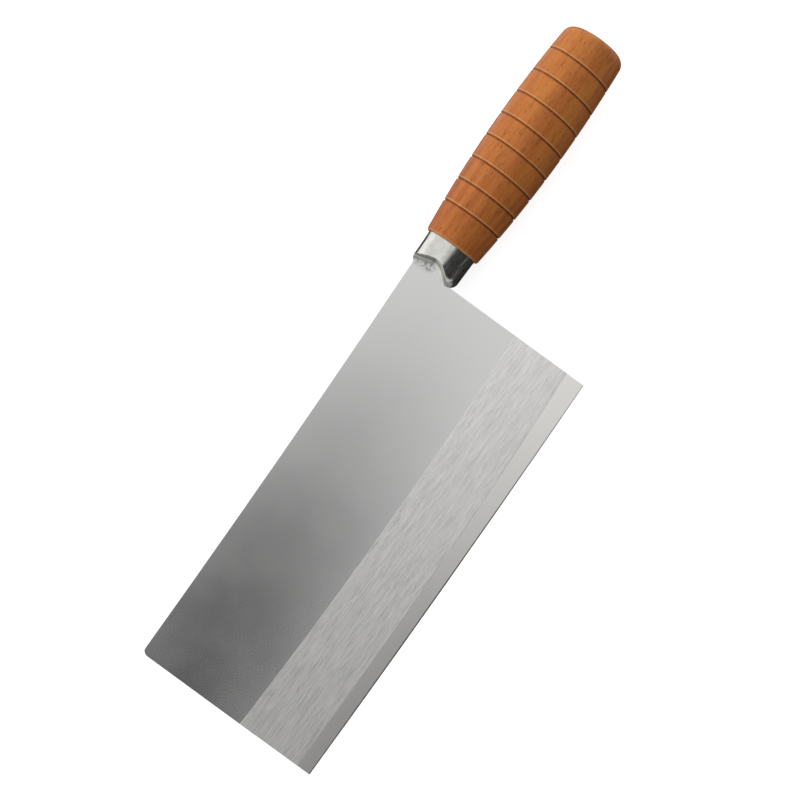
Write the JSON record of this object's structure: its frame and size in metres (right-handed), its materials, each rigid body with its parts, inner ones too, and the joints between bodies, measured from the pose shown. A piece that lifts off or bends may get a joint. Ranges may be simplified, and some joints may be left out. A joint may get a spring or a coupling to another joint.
{
  "type": "chinese cleaver",
  "caption": "Slim rectangular kitchen cleaver with a compound ground steel blade, a scooped round bolster and a grooved turned wooden grip.",
  "frame": {"origin": "on the grip axis, where the wooden grip meets the bolster", "axes": "+X along the grip axis towards the butt, +Y towards the spine with the edge at -Y, +Z out of the blade's left face"},
  "size_m": [0.3312, 0.0995, 0.0332],
  "materials": {
    "blade_steel": "satin flat, brushed bevel, smooth edge strip",
    "bolster_steel": "polished",
    "rod_steel": "plain drawn rod",
    "hardwood": "turned, thinly oiled",
    "resin": "hard clear glue"
  },
  "bodies": {
    "root": {"blade": "blade_steel", "bolster": "bolster_steel", "tang_rod": "rod_steel", "handle": "hardwood", "tang_adhesive": "resin"}
  },
  "joints": []
}
